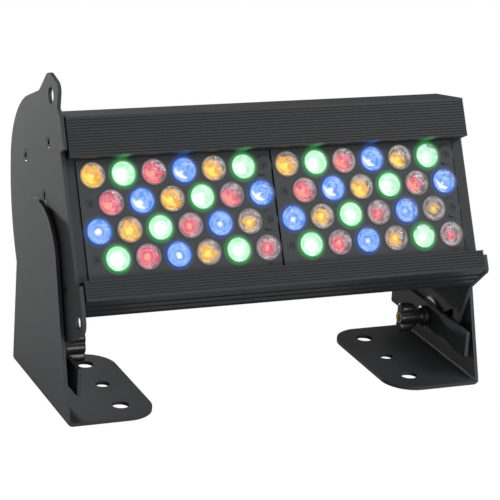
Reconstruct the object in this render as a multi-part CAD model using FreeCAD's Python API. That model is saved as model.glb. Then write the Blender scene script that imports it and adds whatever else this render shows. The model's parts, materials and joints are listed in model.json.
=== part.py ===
"""Stage batten light: two ribbed rails, forty-eight lensed emitters, end plates on tilting feet.

The head is drawn in its own frame (x along the batten, y back from the lens faces,
z up the panel), then leaned back and lifted onto its two feet.  The feet stand on z = 0.
"""
import FreeCAD, Part
import math
import os

V = FreeCAD.Vector
X_AXIS = V(1, 0, 0)
Y_AXIS = V(0, 1, 0)
Z_AXIS = V(0, 0, 1)
SIDES = (("left", -1), ("right", 1))

# Pose of the head on its feet
LEAN = 28.0
LEAN_LEAST = 0.0
LEAN_MOST = 38.0

# Lens field: two modules of staggered rows
PITCH = 25.0
ROW_STEP = 21.8
ROWS = 4
COLUMNS = 6
MODULE_GAP = 0.7
WINDOW_ABOVE = 2.2
WINDOW_BELOW = 6.3
WINDOW_SIDE = 20.5
COLOURS = ("amber", "green", "red", "blue")
ROW_START = (0, 2, 3, 1)

# Collimator lens
LENS_GAP = 4.4
LENS_RIM = 1.2
LENS_SHOULDER = 0.6
LENS_FOOT_DIA = 10.0
LENS_FOOT = 2.0
LENS_CAVITY_DIA = 7.0
LENS_CAVITY = 3.0

# Emitter on its board
EMITTER_DIA = 5.6
EMITTER_BASE = 0.8
EMITTER_DOME_DIA = 3.6
EMITTER_DOME = 1.2
BOARD_FACE = 12.4
BOARD_THICK = 1.6
BOARD_SIDE = 1.75
BOARD_MARGIN = 3.0

# Module plate and its screws
PLATE_FACE = 0.8
PLATE_THICK = 3.0
PLATE_MARGIN = 2.0
CLEARANCE = 0.3
PLATE_EDGE = 0.4
LEDGE_THICK = 1.5
SCREW_INSET = 5.0
SCREW_LOBE = 7.5
SCREW_RECESS_DIA = 6.4
SCREW_RECESS = 1.6
SCREW_HEAD_DIA = 5.6
SCREW_HEAD = 1.3
SCREW_DIA = 3.0
SCREW_BITE = 2.0
SCREW_SOCKET_DIA = 2.4
SCREW_SOCKET = 0.8
SPACER_DIA = 6.0
SPACER_GAP = 0.4

# Ribbed rails above and below the window
RAIL_FRONT = 12.0
RAIL_WALL = 3.0
RIB_PITCH = 2.235
RIB_GROOVE = 1.0
RIB_DEPTH = 0.9
TOP_RIBS = 14
BOTTOM_RIBS = 7
RAIL_SLOPE = 17.0
TOP_RAIL_DEPTH = 43.0
BOTTOM_RAIL_DEPTH = 29.0
FLUTE_FIRST = 8.9
FLUTE_PITCH = 8.5
FLUTE_WIDTH = 3.0
FLUTE_DEPTH = 0.9
FLUTES = 3

# Screw ports for the end plates, (back, up) in the head frame
PORT_DIA = 4.2
PORT_BOSS = 9.0
PORT_WEB = 2.5
TOP_PORT_INSET = 9.5
TOP_PORT_ABOVE = 19.1
BOTTOM_PORT_PAST = 4.8
BOTTOM_PORT_BELOW = 0.7
SPREADER_PORT_BACK = 46.0
SPREADER_PORT_UP = 27.0
REAR_PORT_BACK = 82.0
REAR_PORT_DROP = 23.65
REAR_PORT_LIFT = 18.8

# Heat spreader behind the boards
SPREADER_THICK = 3.0
SPREADER_LAP = 4.0

# Rear housing with cooling fins
HOUSING_BACK = 115.0
HOUSING_WALL = 3.0
HOUSING_CHAMFER = 15.0
HOUSING_SKEW_BACK = 25.0
HOUSING_SKEW_UP = 22.0
HOUSING_LIFT = 7.3
FIN_PITCH = 9.0
FIN_THICK = 2.5
FIN_REACH = 12.0
FINS = 7
FIN_LOWEST = 0.0

# Window cheeks at both ends of the lens field
CHEEK_THICK = 3.0

# End plates
GASKET = 1.5
GASKET_INSET = 3.0
SHEET = 3.0
END_FRONT = 12.0
END_NOTCH = 4.0
END_NOTCH_ABOVE = 6.3
END_NOTCH_BELOW = 3.5
END_BACK_REACH = 23.0
END_BACK_SINK = 95.65
END_SHOULDER_REACH = 4.5
END_SHOULDER_SINK = 12.15
END_TURN_INSET = 13.0
END_TURN_RISE = 7.85
END_CROWN_BACK = 60.0
END_CROWN_RISE = 19.85
END_HIP_REACH = 14.0
END_HIP_LIFT = 17.8
END_HAUNCH_TURN = 55.0
END_STEP_BACK = 38.0
END_STEP_RUN = 12.0
END_STEP_DROP = 15.7
SLOT_RIM = 5.0
LUG_BACK = 1.2
LUG_RADIUS = 11.4
LUG_HOLE = 12.4
EAR_BASE_BACK = 30.2
EAR_BASE_RISE = 17.35
EAR_TOP_BACK = 3.0
EAR_TOP_RISE = 26.75
EAR_FRONT = 17.2
EAR_FRONT_RISE = 10.3
EAR_ROOT = 8.0
EAR_ROOT_SINK = 5.1
EAR_HOLE_BACK = 3.25
EAR_HOLE_RISE = 7.1
EAR_HOLE = 13.0
EAR_TOP_ROUND = 12.0
EAR_FRONT_ROUND = 8.0
RIGHT_FRONT = 9.0
RIGHT_NOTCH_BACK = 7.8
RIGHT_NOTCH_ABOVE = 2.1
RIGHT_CHIN_LIFT = 10.3
RIGHT_CHIN_ROUND = 4.5
RIGHT_HEEL_BACK = 22.0
RIGHT_HEEL_DROP = 1.4
RIGHT_BROW = 3.5
RIGHT_BROW_SINK = 16.15
RIGHT_CROWN_BACK = 31.0
RIGHT_CROWN_SINK = 1.15
RIGHT_TOP_BACK = 78.0
RIGHT_TOP_RISE = 4.35
RIGHT_TURN_RISE = 0.35
END_SCREW_HEAD = 9.4
END_SCREW_SINK = 2.6
END_SCREW_BITE = 14.0
END_SCREW_SOCKET = 4.0
END_SCREW_SOCKET_DEEP = 1.8

# Feet: an upright arm and a flat foot folded from one sheet
FRICTION_THICK = 1.5
ARM_TOP_Y = 53.75
ARM_TOP_Z = 105.0
ARM_TOP_RADIUS = 48.75
ARM_TOE_Y = -35.0
FOLD_RADIUS = 2.0
FOOT_REACH = 77.75
FOOT_BACK = 97.0
FOOT_CORNER = 26.0
FOOT_HOLE_INSET = 52.5
FOOT_HOLE_FIRST = -9.75
FOOT_HOLE_STEP = 42.4
FOOT_HOLE = 14.0
FOOT_HOLE_MIDDLE = 11.5

# Pivot of the head in the arm
PIVOT_BACK = 71.4
PIVOT_LIFT = 54.0
PIVOT_DIA = 10.0
PIVOT_GAP = 0.05
PIVOT_REACH = 18.0
BUSH_DIA = 14.0
BUSH_FLANGE_DIA = 22.0
FRICTION_DIA = 59.0
NUT_FLATS = 17.0
NUT_THICK = 8.0

# Clamp that locks the lean: stud, washer, bar and wing knob
STUD_AHEAD = 11.75
STUD_DIA = 6.0
SLOT_GAP = 0.3
SLOT_OVERRUN = 1.0
SHIM_DIA = 20.0
CLAMP_WASHER_DIA = 31.0
CLAMP_WASHER_THICK = 2.0
BAR_AHEAD = 70.0
BAR_BEHIND = 65.0
BAR_HEIGHT = 22.0
BAR_THICK = 3.0
BAR_ROUND = 2.0
KNOB_LENGTH = 26.0
KNOB_BASE = 5.0
KNOB_BASE_DIA = 18.0
KNOB_NECK_DIA = 12.0
KNOB_WING = 16.0
KNOB_LOBE = 5.0
KNOB_LOBE_AT = 8.0
KNOB_WEB = 4.0
INSERT_DIA = 8.4
STUD_SHY = 2.0

# Supply, control board and sockets in the rear housing
SUPPLY_X = -15.2
SUPPLY_LONG = 150.0
SUPPLY_LOW = 4.0
SUPPLY_TALL = 52.0
SUPPLY_DEEP = 34.0
CONTROL_LONG = 130.0
CONTROL_LOW = -48.0
CONTROL_TALL = 44.0
CONTROL_BACK = 78.0
POST_DIA = 6.0
POST_INSET = 6.0
CHIP = 12.0
CHIP_TALL = 2.4
CHIP_STEP = 24.0
CHIPS = 4
SOCKET_UP = -29.0
SOCKET_FLANGE = 26.0
SOCKET_FLANGE_THICK = 2.0
SOCKET_BODY = 21.0
SOCKET_BODY_LONG = 16.0
SOCKET_COLLAR = 23.0
SOCKET_COLLAR_TALL = 3.0
SOCKET_MOUTH = 17.0
SOCKET_MOUTH_DEEP = 11.0
POWER_IN_X = -70.0
DATA_IN_X = 42.0
DATA_OUT_X = 78.0

# Values that follow from the sizes above
LENS_DIA = PITCH - LENS_GAP
MODULE_CENTRE = PITCH * (COLUMNS + 0.5) / 2
MODULE_HALF = PITCH * (COLUMNS - 0.5) / 2
PLATE_REACH = LENS_DIA / 2 + PLATE_MARGIN
SCREW_REACH = 1.5 * PITCH - PLATE_REACH - MODULE_GAP - SCREW_LOBE
RAIL_HALF = MODULE_CENTRE + MODULE_HALF + WINDOW_SIDE
FIELD_HALF = ROW_STEP * (ROWS - 1) / 2 + LENS_DIA / 2
WINDOW_TOP = FIELD_HALF + WINDOW_ABOVE
WINDOW_LOW = FIELD_HALF + WINDOW_BELOW
LEDGE_FACE = PLATE_FACE + PLATE_THICK - LEDGE_THICK
CHEEK_FLANGE = WINDOW_SIDE - PLATE_REACH - CLEARANCE
LIP_BACK = BOARD_FACE + BOARD_THICK
END_INNER = RAIL_HALF + GASKET
END_OUTER = END_INNER + SHEET
ARM_INNER = END_OUTER + FRICTION_THICK
ARM_OUTER = ARM_INNER + SHEET
CLAMP_FACE = END_INNER - CLAMP_WASHER_THICK
BAR_FACE = CLAMP_FACE - BAR_THICK
TOP_FRONT_UP = WINDOW_TOP + TOP_RIBS * RIB_PITCH
BOTTOM_FRONT_DOWN = WINDOW_LOW + BOTTOM_RIBS * RIB_PITCH
SLOPE = math.tan(math.radians(RAIL_SLOPE))
TOP_BACK_UP = TOP_FRONT_UP + TOP_RAIL_DEPTH * SLOPE
BOTTOM_BACK_DOWN = BOTTOM_FRONT_DOWN + BOTTOM_RAIL_DEPTH * SLOPE
HOUSING_DOWN = BOTTOM_BACK_DOWN - HOUSING_LIFT
TOP_RAIL_BACK = TOP_RAIL_DEPTH - RAIL_FRONT
BOTTOM_RAIL_BACK = BOTTOM_RAIL_DEPTH - RAIL_FRONT
TOP_PORT = (TOP_RAIL_BACK - TOP_PORT_INSET, WINDOW_TOP + TOP_PORT_ABOVE)
BOTTOM_PORT = (BOTTOM_RAIL_BACK + BOTTOM_PORT_PAST, -WINDOW_LOW - BOTTOM_PORT_BELOW)
REAR_TOP_PORT = (REAR_PORT_BACK, TOP_BACK_UP - REAR_PORT_DROP)
REAR_BOTTOM_PORT = (REAR_PORT_BACK, REAR_PORT_LIFT - BOTTOM_BACK_DOWN)
SPREADER_PORTS = ((SPREADER_PORT_BACK, SPREADER_PORT_UP), (SPREADER_PORT_BACK, -SPREADER_PORT_UP))
PORTS = (TOP_PORT, BOTTOM_PORT) + SPREADER_PORTS + (REAR_TOP_PORT, REAR_BOTTOM_PORT)

# The clamp stud swings clear below the housing's lower rear corner
PIVOT_UP = PIVOT_LIFT - BOTTOM_BACK_DOWN
CORNER_RADIUS = math.hypot(HOUSING_BACK - HOUSING_SKEW_BACK - PIVOT_BACK, PIVOT_LIFT)
STUD_RADIUS = CORNER_RADIUS + CLAMP_WASHER_DIA / 2 + CLEARANCE
STUD_DROP = math.sqrt(STUD_RADIUS ** 2 - STUD_AHEAD ** 2)
STUD_Y = ARM_TOP_Y - STUD_AHEAD
STUD_Z = ARM_TOP_Z - STUD_DROP
STUD_TURN = math.degrees(math.atan2(-STUD_DROP, -STUD_AHEAD))
HAUNCH_RADIUS = STUD_RADIUS + STUD_DIA / 2 + SLOT_GAP + SLOT_RIM
FRONT_FLOOR = BOTTOM_BACK_DOWN + END_STEP_DROP


def lean(shape):
    """Set a head piece with its pivot on the arms' studs and lean it back."""
    out = shape.copy()
    out.translate(V(0, ARM_TOP_Y - PIVOT_BACK, ARM_TOP_Z - PIVOT_UP))
    out.rotate(V(0, ARM_TOP_Y, ARM_TOP_Z), X_AXIS, -LEAN)
    return out


def fuse(shapes):
    """Join shapes into one solid."""
    first = shapes[0]
    return first.multiFuse(shapes[1:]).removeSplitter()


def rod_x(radius, x0, x1, y, z):
    """Round bar along x between two stations."""
    low = min(x0, x1)
    return Part.makeCylinder(radius, abs(x1 - x0), V(low, y, z), X_AXIS)


def rod_y(radius, y0, y1, x, z):
    """Round bar along y between two stations."""
    return Part.makeCylinder(radius, y1 - y0, V(x, y0, z), Y_AXIS)


def rod_z(radius, z0, z1, x, y):
    """Round bar along z between two stations."""
    return Part.makeCylinder(radius, z1 - z0, V(x, y, z0), Z_AXIS)


def block(x0, x1, y0, y1, z0, z1):
    """Box between two corners."""
    low = V(min(x0, x1), y0, z0)
    return Part.makeBox(abs(x1 - x0), y1 - y0, z1 - z0, low)


def prism_x(points, x0, x1):
    """Polygon of (y, z) points drawn out along x."""
    low = min(x0, x1)
    ring = [V(low, y, z) for y, z in points]
    face = Part.Face(Part.makePolygon(ring + ring[:1]))
    return face.extrude(V(abs(x1 - x0), 0, 0))


def outline_x(edges, x0, x1):
    """Closed outline of edges at x = 0 drawn out along x."""
    face = Part.Face(Part.Wire(edges))
    face.translate(V(min(x0, x1), 0, 0))
    return face.extrude(V(abs(x1 - x0), 0, 0))


def line(a, b):
    """Straight edge between two (y, z) points."""
    return Part.LineSegment(V(0, a[0], a[1]), V(0, b[0], b[1])).toShape()


def arc(a, b, c):
    """Arc from a through b to c, all (y, z) points."""
    return Part.Arc(V(0, a[0], a[1]), V(0, b[0], b[1]), V(0, c[0], c[1])).toShape()


def around(centre, radius, turn):
    """Point on a circle in the (y, z) plane."""
    angle = math.radians(turn)
    return centre[0] + radius * math.cos(angle), centre[1] + radius * math.sin(angle)


def rib_steps(start, count, direction):
    """Front contour of a ribbed face, from its window edge outward."""
    points = []
    for index in range(count):
        base = start + direction * index * RIB_PITCH
        land = base + direction * (RIB_PITCH - RIB_GROOVE)
        points.append((-RAIL_FRONT, base))
        if index < count - 1:
            floor = RIB_DEPTH - RAIL_FRONT
            points += [(-RAIL_FRONT, land), (floor, land)]
            points.append((floor, base + direction * RIB_PITCH))
    return points


def port(place, wall_up):
    """Screw port of an extrusion: a boss and the web that carries it."""
    back, up = place
    boss = rod_x(PORT_BOSS / 2, -RAIL_HALF, RAIL_HALF, back, up)
    low = min(up, wall_up)
    high = max(up, wall_up)
    web = block(-RAIL_HALF, RAIL_HALF, back - PORT_WEB / 2, back + PORT_WEB / 2, low, high)
    return [boss, web]


def port_holes(ports):
    """Through holes of the screw ports."""
    return [rod_x(PORT_DIA / 2, -RAIL_HALF, RAIL_HALF, back, up) for back, up in ports]


def top_rail():
    """Upper rail: ribbed front, sloping roof, lip round the window."""
    inner = -RAIL_FRONT + RAIL_WALL
    drop = RAIL_WALL / math.cos(math.radians(RAIL_SLOPE))
    points = rib_steps(WINDOW_TOP, TOP_RIBS, 1)
    points += [(-RAIL_FRONT, TOP_FRONT_UP), (TOP_RAIL_BACK, TOP_BACK_UP)]
    points += [(TOP_RAIL_BACK, TOP_BACK_UP - drop)]
    points += [(inner, TOP_FRONT_UP + RAIL_WALL * SLOPE - drop)]
    points += [(inner, WINDOW_TOP + RAIL_WALL), (LIP_BACK, WINDOW_TOP + RAIL_WALL)]
    points += [(LIP_BACK, WINDOW_TOP)]
    roof = TOP_FRONT_UP + (TOP_PORT[0] + RAIL_FRONT) * SLOPE
    shell = prism_x(points, -RAIL_HALF, RAIL_HALF)
    solid = fuse([shell] + port(TOP_PORT, roof - drop / 2))
    return solid.cut(port_holes([TOP_PORT]))


def flute_steps():
    """Broad flutes down the sloping face of the lower rail."""
    run = math.cos(math.radians(RAIL_SLOPE))
    fall = math.sin(math.radians(RAIL_SLOPE))
    points = []
    for index in range(FLUTES):
        near = FLUTE_FIRST + index * FLUTE_PITCH
        for along, deep in ((near, 0), (near, FLUTE_DEPTH),
                            (near + FLUTE_WIDTH, FLUTE_DEPTH), (near + FLUTE_WIDTH, 0)):
            back = along * run + deep * fall - RAIL_FRONT
            down = BOTTOM_FRONT_DOWN + along * fall - deep * run
            points.append((back, -down))
    return points


def bottom_rail():
    """Lower rail: ribbed front, fluted slope, lip round the window."""
    inner = -RAIL_FRONT + RAIL_WALL
    drop = RAIL_WALL / math.cos(math.radians(RAIL_SLOPE))
    points = rib_steps(-WINDOW_LOW, BOTTOM_RIBS, -1)
    points += [(-RAIL_FRONT, -BOTTOM_FRONT_DOWN)] + flute_steps()
    points += [(BOTTOM_RAIL_BACK, -BOTTOM_BACK_DOWN)]
    points += [(BOTTOM_RAIL_BACK, drop - BOTTOM_BACK_DOWN)]
    points += [(inner, drop - BOTTOM_FRONT_DOWN - RAIL_WALL * SLOPE)]
    points += [(inner, -WINDOW_LOW - RAIL_WALL), (LIP_BACK, -WINDOW_LOW - RAIL_WALL)]
    points += [(LIP_BACK, -WINDOW_LOW)]
    shell = prism_x(points, -RAIL_HALF, RAIL_HALF)
    foot = RAIL_WALL - BOTTOM_BACK_DOWN
    back, up = BOTTOM_PORT
    front = BOTTOM_RAIL_BACK - PORT_WEB
    shelf = -WINDOW_LOW - SPREADER_LAP - CLEARANCE
    boss = rod_x(PORT_BOSS / 2, -RAIL_HALF, RAIL_HALF, back, up)
    riser = block(-RAIL_HALF, RAIL_HALF, front, BOTTOM_RAIL_BACK, foot, shelf)
    ledge = block(-RAIL_HALF, RAIL_HALF, front, back + PORT_WEB / 2, shelf - PORT_WEB, shelf)
    neck = block(-RAIL_HALF, RAIL_HALF, back - PORT_WEB / 2, back + PORT_WEB / 2, shelf - PORT_WEB, up)
    solid = fuse([shell, riser, ledge, neck, boss])
    return solid.cut(port_holes([BOTTOM_PORT]))


def housing_section(inset):
    """Outline of the rear housing, moved inward by a wall."""
    skew = inset * math.tan(math.pi / 8)
    return [
        (TOP_RAIL_BACK, TOP_BACK_UP - inset),
        (HOUSING_BACK - HOUSING_CHAMFER - skew, TOP_BACK_UP - inset),
        (HOUSING_BACK - inset, TOP_BACK_UP - HOUSING_CHAMFER - skew),
        (HOUSING_BACK - inset, HOUSING_SKEW_UP - BOTTOM_BACK_DOWN + skew),
        (HOUSING_BACK - HOUSING_SKEW_BACK - skew, inset - HOUSING_DOWN),
        (BOTTOM_RAIL_BACK, inset - HOUSING_DOWN),
    ]


def rear_housing():
    """Rear channel with cooling fins, screw ports and socket openings."""
    outer = housing_section(0)
    inner = housing_section(HOUSING_WALL)
    shell = prism_x(outer + inner[::-1], -RAIL_HALF, RAIL_HALF)
    parts = [shell]
    for index in range(FINS):
        low = FIN_LOWEST + index * FIN_PITCH
        root = HOUSING_BACK - HOUSING_WALL / 2
        tip = HOUSING_BACK + FIN_REACH
        parts.append(block(-RAIL_HALF, RAIL_HALF, root, tip, low, low + FIN_THICK))
    parts += port(REAR_TOP_PORT, TOP_BACK_UP - HOUSING_WALL / 2)
    parts += port(REAR_BOTTOM_PORT, HOUSING_WALL / 2 - HOUSING_DOWN)
    cuts = port_holes([REAR_TOP_PORT, REAR_BOTTOM_PORT])
    for x in (POWER_IN_X, DATA_IN_X, DATA_OUT_X):
        cuts.append(rod_y(SOCKET_BODY / 2 + CLEARANCE, HOUSING_BACK - HOUSING_WALL,
                          HOUSING_BACK, x, SOCKET_UP))
    return fuse(parts).cut(cuts)


def lens_spots(module):
    """Lens centres of one module as (x, z, colour)."""
    spots = []
    first = module * MODULE_CENTRE - MODULE_HALF
    for row in range(ROWS):
        z = ROW_STEP * ((ROWS - 1) / 2 - row)
        shift = PITCH / 2 if row % 2 else 0
        for column in range(COLUMNS):
            colour = COLOURS[(ROW_START[row] + column) % len(COLOURS)]
            spots.append((first + shift + column * PITCH, z, colour))
    return spots


def screw_spots(module):
    """Screw centres of one module plate as (x, z)."""
    first = module * MODULE_CENTRE - MODULE_HALF
    last = first + PITCH * (COLUMNS - 1)
    spots = []
    for row in range(ROWS):
        z = ROW_STEP * ((ROWS - 1) / 2 - row)
        x = first - SCREW_INSET if row % 2 else last + SCREW_REACH
        spots.append((x, z))
    return spots


def module_plate(module):
    """Black plate with a hole for each lens, a scalloped right edge and a low ledge beside it."""
    spots = lens_spots(module)
    back = PLATE_FACE + PLATE_THICK
    high = WINDOW_TOP - PLATE_EDGE
    low = PLATE_EDGE - WINDOW_LOW
    edge = spots[0][0] - PLATE_REACH
    last = spots[COLUMNS - 1][0] + PLATE_REACH
    parts = [block(edge, last, PLATE_FACE, back, low, high)]
    next_edge = edge + 2 * MODULE_CENTRE
    parts.append(block(last, next_edge - MODULE_GAP, LEDGE_FACE, back, low, high))
    for row in range(1, ROWS, 2):
        x, z, colour = spots[(row + 1) * COLUMNS - 1]
        parts.append(rod_y(PLATE_REACH, PLATE_FACE, back, x, z))
    for x, z in screw_spots(module):
        parts.append(rod_y(SCREW_LOBE, PLATE_FACE, back, x, z))
    trim = block(edge, edge - PITCH, PLATE_FACE, back, low, high)
    cuts = [trim]
    for x, z, colour in spots:
        cuts.append(rod_y(LENS_DIA / 2 + CLEARANCE, PLATE_FACE, back, x, z))
    for x, z in screw_spots(module):
        cuts.append(rod_y(SCREW_RECESS_DIA / 2, PLATE_FACE, PLATE_FACE + SCREW_RECESS, x, z))
        cuts.append(rod_y(SCREW_DIA / 2, PLATE_FACE, back, x, z))
    return fuse(parts).cut(cuts)


def lens(x, z):
    """Collimator lens: rim, tapering body and a foot over the emitter."""
    foot_top = BOARD_FACE - LENS_FOOT
    rim = rod_y(LENS_DIA / 2, 0, LENS_RIM, x, z)
    taper = Part.makeCone(LENS_DIA / 2 - LENS_SHOULDER, LENS_FOOT_DIA / 2, foot_top - LENS_RIM,
                          V(x, LENS_RIM, z), Y_AXIS)
    foot = rod_y(LENS_FOOT_DIA / 2, foot_top, BOARD_FACE, x, z)
    cavity = rod_y(LENS_CAVITY_DIA / 2, BOARD_FACE - LENS_CAVITY, BOARD_FACE, x, z)
    return fuse([rim, taper, foot]).cut(cavity)


def emitter(x, z):
    """Emitter: round package and a small dome that tapers to the front."""
    shoulder = BOARD_FACE - EMITTER_BASE
    base = rod_y(EMITTER_DIA / 2, shoulder, BOARD_FACE, x, z)
    dome = Part.makeCone(EMITTER_DOME_DIA / 4, EMITTER_DOME_DIA / 2, EMITTER_DOME,
                         V(x, shoulder - EMITTER_DOME, z), Y_AXIS)
    return fuse([base, dome])


def colour_group(make, colour):
    """All pieces of one colour on both modules."""
    pieces = []
    for module in (-1, 1):
        for x, z, name in lens_spots(module):
            if name == colour:
                pieces.append(make(x, z))
    return Part.makeCompound(pieces)


def led_board(module):
    """Circuit board of one module with openings for the spacers."""
    centre = module * MODULE_CENTRE
    wide = MODULE_CENTRE - BOARD_SIDE
    board = block(centre - wide, centre + wide, BOARD_FACE, BOARD_FACE + BOARD_THICK,
                  BOARD_MARGIN - WINDOW_LOW, WINDOW_TOP - BOARD_MARGIN)
    cuts = []
    for x, z in screw_spots(module):
        cuts.append(rod_y(SPACER_DIA / 2 + SPACER_GAP, BOARD_FACE, BOARD_FACE + BOARD_THICK, x, z))
    return board.cut(cuts)


def module_spacers(module):
    """Spacers between the module plate and the heat spreader."""
    front = PLATE_FACE + PLATE_THICK
    back = BOARD_FACE + BOARD_THICK
    pieces = []
    for x, z in screw_spots(module):
        body = rod_y(SPACER_DIA / 2, front, back, x, z)
        pieces.append(body.cut(rod_y(SCREW_DIA / 2, front, back, x, z)))
    return Part.makeCompound(pieces)


def module_screws(module):
    """Recessed screws of one module plate."""
    seat = PLATE_FACE + SCREW_RECESS
    end = BOARD_FACE + BOARD_THICK + SCREW_BITE
    pieces = []
    for x, z in screw_spots(module):
        head = rod_y(SCREW_HEAD_DIA / 2, seat - SCREW_HEAD, seat, x, z)
        shank = rod_y(SCREW_DIA / 2, seat, end, x, z)
        socket = rod_y(SCREW_SOCKET_DIA / 2, seat - SCREW_HEAD, seat - SCREW_HEAD + SCREW_SOCKET, x, z)
        pieces.append(fuse([head, shank]).cut(socket))
    return Part.makeCompound(pieces)


def heat_spreader():
    """Aluminium plate behind the boards, with screw ports on its back."""
    front = BOARD_FACE + BOARD_THICK
    back = front + SPREADER_THICK
    parts = [block(-RAIL_HALF, RAIL_HALF, front, back,
                   -WINDOW_LOW - SPREADER_LAP, WINDOW_TOP + SPREADER_LAP)]
    for port_back, up in SPREADER_PORTS:
        parts.append(rod_x(PORT_BOSS / 2, -RAIL_HALF, RAIL_HALF, port_back, up))
        parts.append(block(-RAIL_HALF, RAIL_HALF, back - SPREADER_THICK / 2, port_back,
                           up - PORT_WEB / 2, up + PORT_WEB / 2))
    cuts = port_holes(SPREADER_PORTS)
    for module in (-1, 1):
        for x, z in screw_spots(module):
            cuts.append(rod_y(SCREW_DIA / 2, front, front + SCREW_BITE, x, z))
    return fuse(parts).cut(cuts)


def window_cheek(side):
    """Angle that closes the window beside the lens field, level with the ledges."""
    wall = block(side * (RAIL_HALF - CHEEK_THICK), side * RAIL_HALF, LEDGE_FACE, LIP_BACK,
                 -WINDOW_LOW, WINDOW_TOP)
    flange = block(side * (RAIL_HALF - CHEEK_FLANGE), side * RAIL_HALF, LEDGE_FACE,
                   LEDGE_FACE + LEDGE_THICK, -WINDOW_LOW, WINDOW_TOP)
    return fuse([wall, flange])


def end_gasket(side):
    """Sealing sheet between an end plate and the extrusions."""
    front = GASKET_INSET - RAIL_FRONT
    rise = GASKET_INSET * SLOPE
    points = [(front, WINDOW_TOP), (front, TOP_FRONT_UP + rise)]
    points += housing_section(0)
    points += [(BOTTOM_RAIL_BACK, -BOTTOM_BACK_DOWN), (front, -BOTTOM_FRONT_DOWN - rise)]
    points += [(front, -WINDOW_LOW), (LEDGE_FACE, -WINDOW_LOW), (LEDGE_FACE, WINDOW_TOP)]
    edges = left_plate_edges() if side < 0 else right_plate_edges()
    cover = outline_x(edges, side * RAIL_HALF, side * END_INNER)
    sheet = prism_x(points, side * RAIL_HALF, side * END_INNER).common(cover)
    cuts = [rod_x(PORT_DIA / 2, side * RAIL_HALF, side * END_INNER, b, u) for b, u in PORTS]
    cuts.append(rod_x(BUSH_FLANGE_DIA / 2 + CLEARANCE, side * RAIL_HALF, side * END_INNER,
                      PIVOT_BACK, PIVOT_UP))
    return sheet.cut(cuts)


def rear_edges(crown, turn):
    """Curved back of an end plate, from its crown down to the step in its floor."""
    pivot = (PIVOT_BACK, PIVOT_UP)
    shoulder = (HOUSING_BACK + END_SHOULDER_REACH, TOP_BACK_UP - END_SHOULDER_SINK)
    back = (HOUSING_BACK + END_BACK_REACH, TOP_BACK_UP - END_BACK_SINK)
    hip = (HOUSING_BACK + END_HIP_REACH, END_HIP_LIFT - BOTTOM_BACK_DOWN)
    haunch = around(pivot, HAUNCH_RADIUS, -END_HAUNCH_TURN)
    under = around(pivot, HAUNCH_RADIUS, -90)
    middle = around(pivot, HAUNCH_RADIUS, -(END_HAUNCH_TURN + 90) / 2)
    step = (END_STEP_BACK + END_STEP_RUN, under[1])
    floor = (END_STEP_BACK, -FRONT_FLOOR)
    edges = [arc(crown, turn, shoulder), arc(shoulder, back, hip), line(hip, haunch)]
    edges += [arc(haunch, middle, under), line(under, step), line(step, floor)]
    return edges, floor


def rounded_corner(before, corner, after, radius):
    """Two tangent points and the middle point of a rounded corner."""
    ax, ay = before[0] - corner[0], before[1] - corner[1]
    bx, by = after[0] - corner[0], after[1] - corner[1]
    al, bl = math.hypot(ax, ay), math.hypot(bx, by)
    ax, ay, bx, by = ax / al, ay / al, bx / bl, by / bl
    half = math.acos(ax * bx + ay * by) / 2
    run = radius / math.tan(half)
    mx, my = ax + bx, ay + by
    ml = math.hypot(mx, my)
    reach = radius / math.sin(half) - radius
    first = (corner[0] + ax * run, corner[1] + ay * run)
    middle = (corner[0] + mx / ml * reach, corner[1] + my / ml * reach)
    last = (corner[0] + bx * run, corner[1] + by * run)
    return first, middle, last


def left_plate_edges():
    """Outline of the left end plate with its rigging ear and its round lug."""
    root = (-EAR_ROOT, TOP_BACK_UP - EAR_ROOT_SINK)
    front = (-EAR_FRONT, TOP_BACK_UP + EAR_FRONT_RISE)
    top = (EAR_TOP_BACK, TOP_BACK_UP + EAR_TOP_RISE)
    base = (EAR_BASE_BACK, TOP_BACK_UP + EAR_BASE_RISE)
    crown = (END_CROWN_BACK, TOP_BACK_UP + END_CROWN_RISE)
    turn = (HOUSING_BACK - END_TURN_INSET, TOP_BACK_UP + END_TURN_RISE)
    nose = rounded_corner(root, front, top, EAR_FRONT_ROUND)
    peak = rounded_corner(front, top, base, EAR_TOP_ROUND)
    lug = (LUG_BACK, LUG_RADIUS - FRONT_FLOOR)
    lug_low = (LUG_BACK, -FRONT_FLOOR)
    lug_front = (LUG_BACK - LUG_RADIUS, LUG_RADIUS - FRONT_FLOOR)
    notch_low = -WINDOW_LOW - END_NOTCH_BELOW
    notch_high = WINDOW_TOP + END_NOTCH_ABOVE
    edges, floor = rear_edges(crown, turn)
    edges.append(line(floor, lug_low))
    edges.append(arc(lug_low, around(lug, LUG_RADIUS, 225), lug_front))
    edges.append(line(lug_front, (-END_FRONT, notch_low)))
    edges.append(line((-END_FRONT, notch_low), (-END_NOTCH, notch_low)))
    edges.append(line((-END_NOTCH, notch_low), (-END_NOTCH, notch_high)))
    edges.append(line((-END_NOTCH, notch_high), (-END_FRONT, notch_high)))
    edges.append(line((-END_FRONT, notch_high), (-END_FRONT, TOP_FRONT_UP)))
    edges.append(line((-END_FRONT, TOP_FRONT_UP), root))
    edges.append(line(root, nose[0]))
    edges.append(arc(*nose))
    edges.append(line(nose[2], peak[0]))
    edges.append(arc(*peak))
    edges.append(line(peak[2], base))
    edges.append(line(base, crown))
    return edges


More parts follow.
